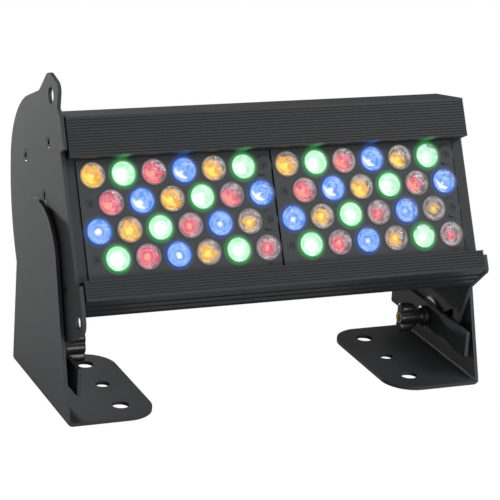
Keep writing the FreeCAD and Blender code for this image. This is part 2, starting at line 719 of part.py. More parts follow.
def right_plate_edges():
    """Outline of the right end plate, which has neither ear nor lug."""
    crown = (RIGHT_TOP_BACK, TOP_BACK_UP + RIGHT_TOP_RISE)
    turn = (HOUSING_BACK - END_TURN_INSET, TOP_BACK_UP + RIGHT_TURN_RISE)
    brow = (-RIGHT_BROW, TOP_BACK_UP - RIGHT_BROW_SINK)
    slope = (RIGHT_CROWN_BACK, TOP_BACK_UP - RIGHT_CROWN_SINK)
    heel = (RIGHT_HEEL_BACK, -BOTTOM_BACK_DOWN - RIGHT_HEEL_DROP)
    chin = (-RIGHT_FRONT, RIGHT_CHIN_LIFT - BOTTOM_BACK_DOWN)
    turn_at = (RIGHT_CHIN_ROUND - RIGHT_FRONT, chin[1])
    jaw = (turn_at[0], chin[1] - RIGHT_CHIN_ROUND)
    middle = around(turn_at, RIGHT_CHIN_ROUND, 225)
    notch_low = -WINDOW_LOW - END_NOTCH_BELOW
    notch_high = WINDOW_TOP + RIGHT_NOTCH_ABOVE
    edges, floor = rear_edges(crown, turn)
    edges.append(line(floor, heel))
    edges.append(line(heel, jaw))
    edges.append(arc(jaw, middle, chin))
    edges.append(line(chin, (-RIGHT_FRONT, notch_low)))
    edges.append(line((-RIGHT_FRONT, notch_low), (RIGHT_NOTCH_BACK, notch_low)))
    edges.append(line((RIGHT_NOTCH_BACK, notch_low), (RIGHT_NOTCH_BACK, notch_high)))
    edges.append(line((RIGHT_NOTCH_BACK, notch_high), (-RIGHT_BROW, notch_high)))
    edges.append(line((-RIGHT_BROW, notch_high), brow))
    edges.append(line(brow, slope))
    edges.append(line(slope, crown))
    return edges


def slot_cutter(x0, x1):
    """Curved slot round the pivot in which the clamp stud travels."""
    half = STUD_DIA / 2 + SLOT_GAP
    spare = math.degrees(math.asin(SLOT_OVERRUN / STUD_RADIUS))
    low = STUD_TURN + LEAN_LEAST - spare
    high = STUD_TURN + LEAN_MOST + spare
    centre = (PIVOT_BACK, PIVOT_UP)
    mid = (low + high) / 2
    outer = [around(centre, STUD_RADIUS + half, turn) for turn in (low, mid, high)]
    inner = [around(centre, STUD_RADIUS - half, turn) for turn in (high, mid, low)]
    tip_high = around(around(centre, STUD_RADIUS, high), half, high + 90)
    tip_low = around(around(centre, STUD_RADIUS, low), half, low - 90)
    edges = [arc(*outer), arc(outer[2], tip_high, inner[0])]
    edges += [arc(*inner), arc(inner[2], tip_low, outer[0])]
    return outline_x(edges, x0, x1)


def end_plate(side):
    """End plate with countersunk screw holes, bush bore and clamp slot."""
    edges = left_plate_edges() if side < 0 else right_plate_edges()
    plate = outline_x(edges, side * END_INNER, side * END_OUTER)
    cuts = [slot_cutter(side * END_INNER, side * END_OUTER)]
    cuts.append(rod_x(BUSH_DIA / 2, side * END_INNER, side * END_OUTER, PIVOT_BACK, PIVOT_UP))
    for back, up in PORTS:
        cuts.append(rod_x(PORT_DIA / 2, side * END_INNER, side * END_OUTER, back, up))
        cuts.append(Part.makeCone(PORT_DIA / 2, END_SCREW_HEAD / 2, END_SCREW_SINK,
                                  V(side * (END_OUTER - END_SCREW_SINK), back, up), V(side, 0, 0)))
    if side < 0:
        cuts.append(rod_x(EAR_HOLE / 2, -END_INNER, -END_OUTER, EAR_HOLE_BACK, TOP_BACK_UP + EAR_HOLE_RISE))
        cuts.append(rod_x(LUG_HOLE / 2, -END_INNER, -END_OUTER, LUG_BACK, LUG_RADIUS - FRONT_FLOOR))
    return plate.cut(cuts)


def end_screws(side):
    """Flush screws that clamp an end plate on the extrusions."""
    pieces = []
    for back, up in PORTS:
        head = Part.makeCone(PORT_DIA / 2, END_SCREW_HEAD / 2, END_SCREW_SINK,
                             V(side * (END_OUTER - END_SCREW_SINK), back, up), V(side, 0, 0))
        shank = rod_x(PORT_DIA / 2, side * (RAIL_HALF - END_SCREW_BITE), side * (END_OUTER - END_SCREW_SINK),
                      back, up)
        socket = rod_x(END_SCREW_SOCKET / 2, side * (END_OUTER - END_SCREW_SOCKET_DEEP), side * END_OUTER,
                       back, up)
        pieces.append(fuse([head, shank]).cut(socket))
    return Part.makeCompound(pieces)


def arm_edges():
    """Side outline of the arm: a wide base that runs up into a round top."""
    centre = (ARM_TOP_Y, ARM_TOP_Z)
    toe = (ARM_TOE_Y, 0)
    span = math.hypot(ARM_TOP_Y - ARM_TOE_Y, ARM_TOP_Z)
    aim = math.degrees(math.atan2(ARM_TOP_Z, ARM_TOP_Y - ARM_TOE_Y))
    rise = aim + math.degrees(math.asin(ARM_TOP_RADIUS / span))
    touch = around(centre, ARM_TOP_RADIUS, rise + 90)
    back = (ARM_TOP_Y + ARM_TOP_RADIUS, ARM_TOP_Z)
    heel = (ARM_TOP_Y + ARM_TOP_RADIUS, 0)
    crown = around(centre, ARM_TOP_RADIUS, (rise + 90) / 2)
    return [line(toe, touch), arc(touch, crown, back), line(back, heel), line(heel, toe)]


def foot_blank(side):
    """Flat outline of the foot, rounded at its two inner corners."""
    x_in = ARM_OUTER - FOOT_REACH
    r = FOOT_CORNER
    body = [block(side * ARM_OUTER, side * (x_in + r), ARM_TOE_Y, FOOT_BACK, 0, SHEET)]
    body.append(block(side * ARM_OUTER, side * x_in, ARM_TOE_Y + r, FOOT_BACK - r, 0, SHEET))
    for y in (ARM_TOE_Y + r, FOOT_BACK - r):
        body.append(rod_z(r, 0, SHEET, side * (x_in + r), y))
    return fuse(body)


def fold_section(side):
    """Folded sheet: upright, bend and flat, drawn out along y."""
    inner = FOLD_RADIUS
    outer = FOLD_RADIUS + SHEET
    depth = ARM_TOP_Y + ARM_TOP_RADIUS - ARM_TOE_Y
    tall = ARM_TOP_Z + ARM_TOP_RADIUS
    x_in = ARM_OUTER - FOOT_REACH
    end = ARM_TOE_Y + depth
    upright = block(side * ARM_OUTER, side * ARM_INNER, ARM_TOE_Y, end, outer, tall)
    flat = block(side * (ARM_OUTER - outer), side * x_in, ARM_TOE_Y, end, 0, SHEET)
    corner = block(side * ARM_OUTER, side * (ARM_OUTER - outer), ARM_TOE_Y, end, 0, outer)
    x_bend = side * (ARM_OUTER - outer)
    bend = corner.common(rod_y(outer, ARM_TOE_Y, end, x_bend, outer))
    bend = bend.cut(rod_y(inner, ARM_TOE_Y, end, x_bend, outer))
    return fuse([upright, bend, flat])


def bracket(side):
    """One foot: arm and foot plate folded from a single sheet."""
    reach = FOLD_RADIUS + SHEET
    arm = outline_x(arm_edges(), side * ARM_OUTER, side * (ARM_OUTER - reach))
    solid = fold_section(side).common(fuse([arm, foot_blank(side)]))
    x = side * (ARM_OUTER - FOOT_HOLE_INSET)
    cuts = []
    for index in range(3):
        dia = FOOT_HOLE_MIDDLE if index == 1 else FOOT_HOLE
        cuts.append(rod_z(dia / 2, 0, SHEET, x, FOOT_HOLE_FIRST + index * FOOT_HOLE_STEP))
    return solid.cut(cuts)


def pivot_stud(side):
    """Plain stud on the inner face of the arm that carries the head."""
    return rod_x(PIVOT_DIA / 2, side * ARM_INNER, side * (ARM_INNER - PIVOT_REACH), ARM_TOP_Y, ARM_TOP_Z)


def pivot_bush(side):
    """Flanged bush in the end plate that runs on the pivot stud."""
    sleeve = rod_x(BUSH_DIA / 2, side * END_OUTER, side * END_INNER, ARM_TOP_Y, ARM_TOP_Z)
    flange = rod_x(BUSH_FLANGE_DIA / 2, side * END_INNER, side * RAIL_HALF, ARM_TOP_Y, ARM_TOP_Z)
    bore = rod_x(PIVOT_DIA / 2 + PIVOT_GAP, side * END_OUTER, side * RAIL_HALF, ARM_TOP_Y, ARM_TOP_Z)
    return fuse([sleeve, flange]).cut(bore)


def friction_washers(side):
    """Two flat washers between arm and end plate: pivot and clamp stud."""
    big = rod_x(FRICTION_DIA / 2, side * END_OUTER, side * ARM_INNER, ARM_TOP_Y, ARM_TOP_Z)
    big = big.cut(rod_x(PIVOT_DIA / 2, side * END_OUTER, side * ARM_INNER, ARM_TOP_Y, ARM_TOP_Z))
    small = rod_x(SHIM_DIA / 2, side * END_OUTER, side * ARM_INNER, STUD_Y, STUD_Z)
    small = small.cut(rod_x(STUD_DIA / 2, side * END_OUTER, side * ARM_INNER, STUD_Y, STUD_Z))
    return Part.makeCompound([big, small])


def pivot_nut(side):
    """Hexagon nut that keeps the pivot stud in its bush."""
    radius = NUT_FLATS / 2 / math.cos(math.pi / 6)
    points = [around((ARM_TOP_Y, ARM_TOP_Z), radius, 60 * k) for k in range(6)]
    near = side * RAIL_HALF
    far = side * (RAIL_HALF - NUT_THICK)
    return prism_x(points, near, far).cut(rod_x(PIVOT_DIA / 2, near, far, ARM_TOP_Y, ARM_TOP_Z))


def clamp_stud(side):
    """Threaded stud on the arm that passes the slot and carries the knob."""
    tip = BAR_FACE - KNOB_LENGTH + STUD_SHY
    return rod_x(STUD_DIA / 2, side * ARM_INNER, side * tip, STUD_Y, STUD_Z)


def clamp_washer(side):
    """Large bright washer under the clamp bar."""
    disc = rod_x(CLAMP_WASHER_DIA / 2, side * END_INNER, side * CLAMP_FACE, STUD_Y, STUD_Z)
    return disc.cut(rod_x(STUD_DIA / 2, side * END_INNER, side * CLAMP_FACE, STUD_Y, STUD_Z))


def clamp_bar(side):
    """Flat bar across the arm that spreads the pull of the knob."""
    low = STUD_Z - BAR_HEIGHT / 2
    bar = block(side * CLAMP_FACE, side * BAR_FACE, STUD_Y - BAR_AHEAD, STUD_Y + BAR_BEHIND,
                low, low + BAR_HEIGHT)
    corners = [e for e in bar.Edges if abs(e.tangentAt(0).x) > 0.9]
    bar = bar.makeFillet(BAR_ROUND, corners)
    return bar.cut(rod_x(STUD_DIA / 2, side * CLAMP_FACE, side * BAR_FACE, STUD_Y, STUD_Z))


def knob_body(side):
    """Wing knob with two lobes, bored for its insert."""
    near = side * BAR_FACE
    tip = side * (BAR_FACE - KNOB_LENGTH)
    wing = side * (BAR_FACE - KNOB_LENGTH + KNOB_WING)
    parts = [rod_x(KNOB_BASE_DIA / 2, near, side * (BAR_FACE - KNOB_BASE), STUD_Y, STUD_Z)]
    parts.append(rod_x(KNOB_NECK_DIA / 2, near, tip, STUD_Y, STUD_Z))
    parts.append(block(wing, tip, STUD_Y - KNOB_WEB, STUD_Y + KNOB_WEB,
                       STUD_Z - KNOB_LOBE_AT, STUD_Z + KNOB_LOBE_AT))
    for z in (STUD_Z - KNOB_LOBE_AT, STUD_Z + KNOB_LOBE_AT):
        parts.append(rod_x(KNOB_LOBE, wing, tip, STUD_Y, z))
    return fuse(parts).cut(rod_x(INSERT_DIA / 2, near, tip, STUD_Y, STUD_Z))


def knob_insert(side):
    """Brass thread insert of the knob."""
    near = side * BAR_FACE
    tip = side * (BAR_FACE - KNOB_LENGTH)
    tube = rod_x(INSERT_DIA / 2, near, tip, STUD_Y, STUD_Z)
    return tube.cut(rod_x(STUD_DIA / 2 + PIVOT_GAP, near, tip, STUD_Y, STUD_Z))


def power_supply():
    """Closed supply unit on the inner back wall of the housing."""
    back = HOUSING_BACK - HOUSING_WALL
    half = SUPPLY_LONG / 2
    return block(SUPPLY_X - half, SUPPLY_X + half, back - SUPPLY_DEEP, back,
                 SUPPLY_LOW, SUPPLY_LOW + SUPPLY_TALL)


def control_board():
    """Control board on four posts, with its row of driver chips."""
    back = HOUSING_BACK - HOUSING_WALL
    left = -CONTROL_LONG / 2
    board = block(left, left + CONTROL_LONG, CONTROL_BACK, CONTROL_BACK + BOARD_THICK,
                  CONTROL_LOW, CONTROL_LOW + CONTROL_TALL)
    parts = [board]
    for x in (left + POST_INSET, left + CONTROL_LONG - POST_INSET):
        for z in (CONTROL_LOW + POST_INSET, CONTROL_LOW + CONTROL_TALL - POST_INSET):
            parts.append(rod_y(POST_DIA / 2, CONTROL_BACK + BOARD_THICK, back, x, z))
    for index in range(CHIPS):
        x = (index - (CHIPS - 1) / 2) * CHIP_STEP
        z = CONTROL_LOW + CONTROL_TALL / 2
        parts.append(block(x - CHIP / 2, x + CHIP / 2, CONTROL_BACK - CHIP_TALL, CONTROL_BACK,
                           z - CHIP / 2, z + CHIP / 2))
    return fuse(parts)


def panel_socket(x):
    """Round panel socket on the back wall: flange, body, collar and mouth."""
    face = HOUSING_BACK + SOCKET_FLANGE_THICK
    half = SOCKET_FLANGE / 2
    flange = block(x - half, x + half, HOUSING_BACK, face, SOCKET_UP - half, SOCKET_UP + half)
    body = rod_y(SOCKET_BODY / 2, HOUSING_BACK - SOCKET_BODY_LONG, HOUSING_BACK, x, SOCKET_UP)
    collar = rod_y(SOCKET_COLLAR / 2, face, face + SOCKET_COLLAR_TALL, x, SOCKET_UP)
    lip = face + SOCKET_COLLAR_TALL
    mouth = rod_y(SOCKET_MOUTH / 2, lip - SOCKET_MOUTH_DEEP, lip, x, SOCKET_UP)
    return fuse([flange, body, collar]).cut(mouth)


def head_pieces():
    """Pieces drawn in the head's own frame, by node name."""
    pieces = {
        "top_rail": top_rail(),
        "bottom_rail": bottom_rail(),
        "rear_housing": rear_housing(),
        "heat_spreader": heat_spreader(),
        "power_supply": power_supply(),
        "control_board": control_board(),
        "power_inlet": panel_socket(POWER_IN_X),
        "data_inlet": panel_socket(DATA_IN_X),
        "data_outlet": panel_socket(DATA_OUT_X),
    }
    for side_name, side in SIDES:
        pieces[side_name + "_module_plate"] = module_plate(side)
        pieces[side_name + "_led_board"] = led_board(side)
        pieces[side_name + "_module_spacers"] = module_spacers(side)
        pieces[side_name + "_module_screws"] = module_screws(side)
        pieces[side_name + "_window_cheek"] = window_cheek(side)
        pieces[side_name + "_end_gasket"] = end_gasket(side)
        pieces[side_name + "_end_plate"] = end_plate(side)
        pieces[side_name + "_end_screws"] = end_screws(side)
    for colour in COLOURS:
        pieces[colour + "_lenses"] = colour_group(lens, colour)
        pieces[colour + "_emitters"] = colour_group(emitter, colour)
    return pieces


def standing_pieces():
    """Pieces drawn where they stand, by node name."""
    pieces = {}
    for side_name, side in SIDES:
        pieces[side_name + "_bracket"] = bracket(side)
        pieces[side_name + "_pivot_stud"] = pivot_stud(side)
        pieces[side_name + "_pivot_bush"] = pivot_bush(side)
        pieces[side_name + "_pivot_nut"] = pivot_nut(side)
        pieces[side_name + "_friction_washers"] = friction_washers(side)
        pieces[side_name + "_clamp_stud"] = clamp_stud(side)
        pieces[side_name + "_clamp_washer"] = clamp_washer(side)
        pieces[side_name + "_clamp_bar"] = clamp_bar(side)
        pieces[side_name + "_knob"] = knob_body(side)
        pieces[side_name + "_knob_insert"] = knob_insert(side)
    return pieces


def main():
    """Build every piece, centre the whole over the origin and write the files."""
    os.makedirs("parts", exist_ok=True)
    pieces = {name: lean(shape) for name, shape in head_pieces().items()}
    pieces.update(standing_pieces())
    box = Part.makeCompound(list(pieces.values())).BoundBox
    shift = V(0, -(box.YMin + box.YMax) / 2, 0)
    for name, shape in pieces.items():
        shape.translate(shift)
        shape.exportStep("parts/" + name + ".step")


main()
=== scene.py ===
"""Looks of the stage batten light: satin black metal, lit lenses, soft studio light."""
import json
import math
import bpy
from mathutils import Matrix, Vector


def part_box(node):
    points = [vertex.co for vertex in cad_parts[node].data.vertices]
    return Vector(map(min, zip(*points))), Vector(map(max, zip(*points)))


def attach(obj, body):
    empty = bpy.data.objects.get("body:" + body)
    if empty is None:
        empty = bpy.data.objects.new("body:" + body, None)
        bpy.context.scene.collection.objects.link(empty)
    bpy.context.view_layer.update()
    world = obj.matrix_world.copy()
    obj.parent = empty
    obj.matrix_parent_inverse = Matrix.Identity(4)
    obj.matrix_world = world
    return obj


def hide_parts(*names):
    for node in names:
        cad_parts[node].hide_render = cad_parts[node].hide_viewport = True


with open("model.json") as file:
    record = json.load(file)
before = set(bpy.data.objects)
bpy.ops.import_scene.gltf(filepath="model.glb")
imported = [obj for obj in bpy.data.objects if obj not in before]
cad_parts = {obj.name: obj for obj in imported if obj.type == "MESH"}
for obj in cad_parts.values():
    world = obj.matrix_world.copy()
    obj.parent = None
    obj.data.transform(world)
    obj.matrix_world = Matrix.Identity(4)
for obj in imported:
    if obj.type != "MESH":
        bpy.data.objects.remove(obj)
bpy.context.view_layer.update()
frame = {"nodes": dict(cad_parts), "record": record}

MM = 0.001
TINY = 1e-6
SIDES = (("left", -1), ("right", 1))
NOISE_DETAIL = 3
NOISE_MEAN = 0.5

# The head in its own frame, in metres: x along the batten, back from the lens faces, up the panel
LEAN = math.radians(28.0)
PIVOT_BACK = 0.0714
PIVOT_UP = -0.019811
PLATE_OUTSIDE = 0.175

# Lens field: two modules of staggered rows
LENS_PITCH = 0.025
LENS_RADIUS = 0.0103
ROW_STEP = 0.0218
ROWS = 4
COLUMNS = 6
MODULE_CENTRE = 0.08125
FIRST_LENS = 0.06875
COLOURS = ("amber", "green", "red", "blue")
ROW_START = (0, 2, 3, 1)

# A module plate has a screw before or after each row; an end plate has six, at (back, up)
SCREW_BEFORE_ROW = 0.005
SCREW_AFTER_ROW = 0.017
SCREW_SEAT = 0.0011
END_SCREWS = (
    (0.0215, 0.0643), (0.0218, -0.05), (0.046, 0.027),
    (0.046, -0.027), (0.082, 0.06599), (0.082, -0.05501),
)

# Turned pieces, in millimetres, as rings of (radius, height). A ring marked HEX has six flats
HEX = "hex"
FLAT = math.pi / 3
LENS_AROUND = 48
SCREW_AROUND = 24
LENS_SHARP = 0.6
SCREW_SHARP = 0.5
BOWL_PROFILE = (
    (10.3, -1.0), (10.3, 0.05), (10.1, 0.3), (9.4, 0.3), (9.15, 0.05), (8.4, -1.2), (7.0, -2.5),
    (5.2, -3.5), (3.4, -4.1), (2.5, -4.3), (2.2, -3.9), (1.4, -3.55), (0.5, -3.4),
)
FRONT_PROFILE = ((9.35, 0.2), (8.6, 0.5), (7.0, 0.9), (5.0, 1.2), (2.6, 1.38), (0.6, 1.42))
MODULE_SCREW_PROFILE = (
    (1.5, -4), (1.5, -1.3), (3.1, -1.3), (3.12, -0.3), (2.95, -0.03), (2.5, 0),
    (1.25, 0, HEX), (1.2, -0.8, HEX), (0.1, -0.9),
)
END_SCREW_PROFILE = (
    (2.1, -12), (2.1, -2.5), (4.1, -0.55), (4.1, -0.1), (4.0, -0.02),
    (2.2, -0.02, HEX), (2.1, -0.3, HEX), (2.05, -1.7, HEX), (0.1, -1.9),
)

# Wing knob, in millimetres. A level is (distance out, radius of the hub, share of the wing)
HUB_RADIUS = 6.0
WING_HALF_THICK = 4.0
WING_HALF_LONG = 8.0
WING_END_RADIUS = 5.0
WING_REACH = 13.0
WING_CORNER = 12
KNOB_AROUND = 72
KNOB_SHARP = 0.7
KNOB_LEVELS = (
    (0, 8.7, 0), (0.4, 9, 0), (4.2, 9, 0), (4.8, 8.6, 0), (5.4, 7.5, 0), (6.6, 6.3, 0),
    (8.5, 6, 0), (10, 6, 0.12), (11.5, 6, 0.42), (13.5, 6, 0.72), (16, 6, 0.9), (19, 6, 0.98),
    (22, 6, 0.985), (24.4, 6, 0.97), (25.4, 5.9, 0.93), (25.9, 5.7, 0.87), (26, 5.4, 0.8),
    (26, 4.2, 0), (0, 4.2, 0),
)

# Colours of the lit lenses. The colour ends at reach and the bright die at heart, in lens radii
LIT = {
    "amber": {
        "core": (0.99, 0.76, 0.10), "body": (0.82, 0.36, 0.03), "light": (0.86, 0.50, 0.11),
        "rim": (0.13, 0.12, 0.10), "reach": 0.70, "heart": 0.30,
    },
    "green": {
        "core": (0.90, 1.00, 0.93), "body": (0.36, 0.92, 0.50), "light": (0.70, 1.00, 0.79),
        "rim": (0.01, 0.30, 0.05), "reach": 1.30, "heart": 0.56,
    },
    "red": {
        "core": (0.99, 0.30, 0.22), "body": (0.72, 0.07, 0.13), "light": (0.76, 0.19, 0.26),
        "rim": (0.13, 0.10, 0.12), "reach": 0.70, "heart": 0.24,
    },
    "blue": {
        "core": (0.90, 0.96, 1.00), "body": (0.08, 0.26, 0.84), "light": (0.28, 0.50, 0.97),
        "rim": (0.02, 0.08, 0.46), "reach": 1.22, "heart": 0.25,
    },
}
# Painted glow of the clear glass outside the lit patch, between a dark and a light streak
CLEAR_DARK = (0.13, 0.11, 0.115)
CLEAR_LIGHT = (0.42, 0.36, 0.36)
UNLIT_BASE = (0.04, 0.04, 0.04)

# Pattern of a lit lens, in lens radii. Of a pair of limits, the first is where a thing is
# gone and the second where it is full; a line has its radius before them
LENS_CHANCE = 37.0
BLOTCHES = 2.4
STREAKS = 2.7
STREAK_ROUND = (0.5, 0.5, 0.0)
STREAK_OUT = 1.9
STREAK_EDGE = (0.38, 0.64)
PATCH_PAST_REACH = 0.18
PATCH_INSIDE_REACH = 0.16
GROOVE = (0.36, 0.10, 0.03)
RING = (0.52, 0.11, 0.03)
RING_STRENGTH = 0.75
CRESCENT_MIDDLE = (0.20, 0.28, 0.0)
CRESCENT_UNEVEN = 0.25
CRESCENT_LINE = (0.56, 0.21, 0.10)
CRESCENT_ENDS = (-0.12, 0.14)
LOWER_LEFT = (-0.62, -0.78, 0.0)
HEART_UNEVEN = 0.35
HEART_BY_CRESCENT = 0.06
HEART_BY_FILL = 0.4
HEART_EDGE = 0.10
RIM_EDGE = (0.84, 0.97)
RIM_STRENGTH = 0.95
# Painted highlights: chosen facets towards the upper right of each lens are painted bright, in
# two tints
FACETS = 4.6
FACET_CHOSEN = (0.70, 0.76)
FACET_SIZE = (0.46, 0.20)
UPPER_RIGHT = (0.70, 0.71, 0.0)
GLINT_INSIDE = (0.18, 0.40)
GLINT_OUTSIDE = (0.96, 0.86)
GLINT_TINT_EDGE = (0.45, 0.55)
GLINT_TINTS = ((0.75, 0.95, 0.90), (0.24, 0.42, 0.85))
GLINT_STRENGTH = 0.7

# How the lit patches differ: they sit and look otherwise in the two upper rows than in the
# two lower ones, and the colour fills less of a lens towards the right and the bottom
UPPER_ROWS = {"lean": (-0.13, -0.12), "rings": 0.15, "crescent": 1.0}
LOWER_ROWS = {"lean": (0.03, -0.04), "rings": 0.85, "crescent": 0.1}
SWAY = 0.05
SWAY_BY_COLUMN = 0.9
SWAY_BY_ROW = 2.3
SWAY_TURNS = (2.7, 1.9, 3.1)
FILL_FIRST = 0.20
FILL_LESS_BY_COLUMN = 0.06
FILL_LESS_AT_RIGHT = 0.13
FILL_LESS_BELOW = 0.13
FILL_LESS_AT_BOTH = 0.06

# Coloured light round the green and the blue lenses, painted as a glow on the plates and the
# rails: full at the lens edge, and only on what lies in front of the given depth
SPILL = {"green": (0.025, 0.30, 0.07), "blue": (0.01, 0.07, 0.27)}
SPILL_FULL = 0.90
SPILL_FALL = 2.0
SPILL_DEPTH = (0.008, 0.005)
SAME_NUMBER = 0.1

# Studio. A lamp has its place, its aim, its width and height, its watts and its beam in degrees
WHITE = (1, 1, 1, 1)
ROOM_LIGHT = 0.09
FLOOR_TONE = (0.66, 0.66, 0.66, 1)
FLOOR_SIZE = 8.0
FLOOR_PLACE = (0, 1.0, -0.0005)
LAMPS = {
    "key": ((0.1, -1.9, 1.5), (0, 0, 0.12), 1.2, 1.2, 6, 180),
    "low": ((0.6, -2.0, 0.35), (0, 0, 0.12), 1.0, 0.5, 14, 180),
    "side": ((-0.345, 2.2, 0.16), (-0.24, 0, 0.03), 0.1, 0.18, 2.1, 24),
    "fill": ((1.3, -1.1, 1.75), (0, 0, 0.12), 1.0, 0.8, 19, 180),
    "top": ((0.6, 0.4, 2.2), (0, 0, 0.1), 1.4, 1.4, 15, 180),
    "back": ((1.0, 1.7, 1.4), (0.1, 0, 0.1), 0.8, 0.8, 2.0, 180),
}
CAMERA_PLACE = (-0.71075, -1.56095, 0.69925)
CAMERA_AZIMUTH = math.radians(-24.5)
CAMERA_ELEVATION = math.radians(19.19)
CAMERA_ROLL = math.radians(4.20)
CAMERA_LENS = 160.8
CAMERA_SENSOR = 36.0
CAMERA_FARTHEST = 20.0


def middle(node):
    """Middle of a CAD node's box."""
    low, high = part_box(node)
    return (Vector(low) + Vector(high)) / 2


PIVOT = middle("left_pivot_stud")


def on_head(x, back, up):
    """World place of a point given in the head's own frame."""
    y = PIVOT.y + (back - PIVOT_BACK) * math.cos(LEAN) + (up - PIVOT_UP) * math.sin(LEAN)
    z = PIVOT.z - (back - PIVOT_BACK) * math.sin(LEAN) + (up - PIVOT_UP) * math.cos(LEAN)
    return Vector((x, y, z))


def row_height(row):
    """How far up the panel a row of lenses lies."""
    return ROW_STEP * ((ROWS - 1) / 2 - row)


def row_shift(row):
    """How far every other row of lenses is moved along."""
    return LENS_PITCH / 2 if row % 2 else 0


# Steps that shader trees are built from


def feed(tree, node, inputs):
    """Give a node's inputs their sockets, numbers, vectors or colours."""
    for name, value in inputs.items():
        if isinstance(value, bpy.types.NodeSocket):
            tree.links.new(value, node.inputs[name])
        else:
            node.inputs[name].default_value = value


def add_node(tree, kind, inputs=None, **settings):
    """New shader node with its settings and its inputs."""
    node = tree.nodes.new("ShaderNode" + kind)
    for setting, value in settings.items():
        setattr(node, setting, value)
    feed(tree, node, inputs or {})
    return node


def maths(tree, operation, *values):
    """One arithmetic step between sockets or numbers."""
    return add_node(tree, "Math", dict(enumerate(values)), operation=operation).outputs[0]


def plus(tree, first, second):
    """Sum of two sockets or numbers."""
    return maths(tree, "ADD", first, second)


def minus(tree, first, second):
    """Difference of two sockets or numbers."""
    return maths(tree, "SUBTRACT", first, second)


def times(tree, first, *others):
    """Product of sockets and numbers."""
    for other in others:
        first = maths(tree, "MULTIPLY", first, other)
    return first


def vectors(tree, operation, *values):
    """One vector step between sockets or fixed vectors."""
    node = add_node(tree, "VectorMath", dict(enumerate(values)), operation=operation)
    return node.outputs["Value" if operation in ("LENGTH", "DOT_PRODUCT") else "Vector"]


def scaled(tree, vector, scale):
    """Vector or colour multiplied by a number."""
    node = add_node(tree, "VectorMath", {0: vector, "Scale": scale}, operation="SCALE")
    return node.outputs["Vector"]


def combined(tree, x=0.0, y=0.0, z=0.0):
    """Vector of three parts."""
    return add_node(tree, "CombineXYZ", {0: x, 1: y, 2: z}).outputs[0]


def parts_of(tree, vector):
    """The three parts of a vector."""
    return add_node(tree, "SeparateXYZ", {0: vector}).outputs


def fade(tree, value, none, full):
    """Soft step of a value: 0 at the first limit, 1 at the second."""
    rising = none < full
    node = add_node(tree, "MapRange", {
        "Value": value,
        "From Min": min(none, full),
        "From Max": max(none, full),
        "To Min": 0.0 if rising else 1.0,
        "To Max": 1.0 if rising else 0.0,
    }, interpolation_type="SMOOTHSTEP")
    return node.outputs["Result"]


def line(tree, distance, radius, none, full):
    """Soft line at a radius, gone and full at two distances from it."""
    return fade(tree, maths(tree, "ABSOLUTE", minus(tree, distance, radius)), none, full)


def ranged(tree, value, low, high):
    """Noise value stretched to a range."""
    node = add_node(tree, "MapRange", {"Value": value, "To Min": low, "To Max": high})
    return node.outputs["Result"]


def blend(tree, factor, first, second):
    """Colour between two colours, each a socket or a fixed colour."""
    first, second = (
        (*colour, 1) if isinstance(colour, tuple) else colour for colour in (first, second)
    )
    mix = add_node(tree, "Mix", {"Factor": factor, "A": first, "B": second}, data_type="RGBA")
    return mix.outputs["Result"]


def noise_at(tree, vector, scale):
    """Noise value at a vector."""
    inputs = {"Vector": vector, "Scale": scale, "Detail": NOISE_DETAIL}
    return add_node(tree, "TexNoise", inputs).outputs["Fac"]


def grain(tree, scale, stretch=(1, 1, 1)):
    """Noise on object coordinates, stretched along the piece."""
    place = add_node(tree, "TexCoord").outputs["Object"]
    mapping = add_node(tree, "Mapping", {"Vector": place, "Scale": stretch})
    return noise_at(tree, mapping.outputs["Vector"], scale)


def bumped(tree, value, distance, strength):
    """Normal of a surface that is raised by a noise value."""
    inputs = {"Height": value, "Distance": distance, "Strength": strength}
    return add_node(tree, "Bump", inputs).outputs["Normal"]


def carried(tree, name):
    """Vector that each lens carries on its mesh."""
    return add_node(tree, "Attribute", attribute_name=name).outputs["Vector"]


# Finishes


def node_material(name):
    """New node material with its tree and its shader."""
    made = bpy.data.materials.new(name)
    made.use_nodes = True
    return made, made.node_tree, made.node_tree.nodes["Principled BSDF"]


def coated_sheet():
    """Black powder coat on folded sheet: slow change of tone and a fine orange peel."""
    made, tree, shader = node_material("black_powder_coat")
    peel = grain(tree, 900)
    feed(tree, shader, {
        "Base Color": blend(tree, grain(tree, 14), (0.038, 0.040, 0.045), (0.048, 0.050, 0.055)),
        "Roughness": ranged(tree, peel, 0.5, 0.64),
        "Specular IOR Level": 0.32,
        "Normal": bumped(tree, peel, 0.0002, 0.3),
    })
    return made


def anodised_rail():
    """Black anodised extrusion with faint draw lines along its length."""
    made, tree, shader = node_material("black_anodised")
    draw_lines = grain(tree, 220, (0.02, 1, 1))
    feed(tree, shader, {
        "Base Color": blend(tree, draw_lines, (0.020, 0.022, 0.024), (0.031, 0.033, 0.036)),
        "Roughness": ranged(tree, draw_lines, 0.38, 0.52),
        "Specular IOR Level": 0.3,
        "Normal": bumped(tree, draw_lines, 0.0001, 0.2),
    })
    return made


def plain(name, dark, light, rough, metal=0.0):
    """Simple finish with small variation of colour and gloss."""
    made, tree, shader = node_material(name)
    fine = grain(tree, 300)
    feed(tree, shader, {
        "Base Color": blend(tree, fine, dark, light),
        "Roughness": ranged(tree, fine, rough - 0.06, rough + 0.06),
        "Metallic": metal,
        "Normal": bumped(tree, fine, 0.0001, 0.2),
    })
    return made


def glowing_die(colour):
    """Evenly lit die of an emitter."""
    made, tree, shader = node_material(colour + "_die")
    tone = (*LIT[colour]["body"], 1)
    feed(tree, shader, {"Base Color": tone, "Emission Color": tone, "Emission Strength": 1.0})
    return made


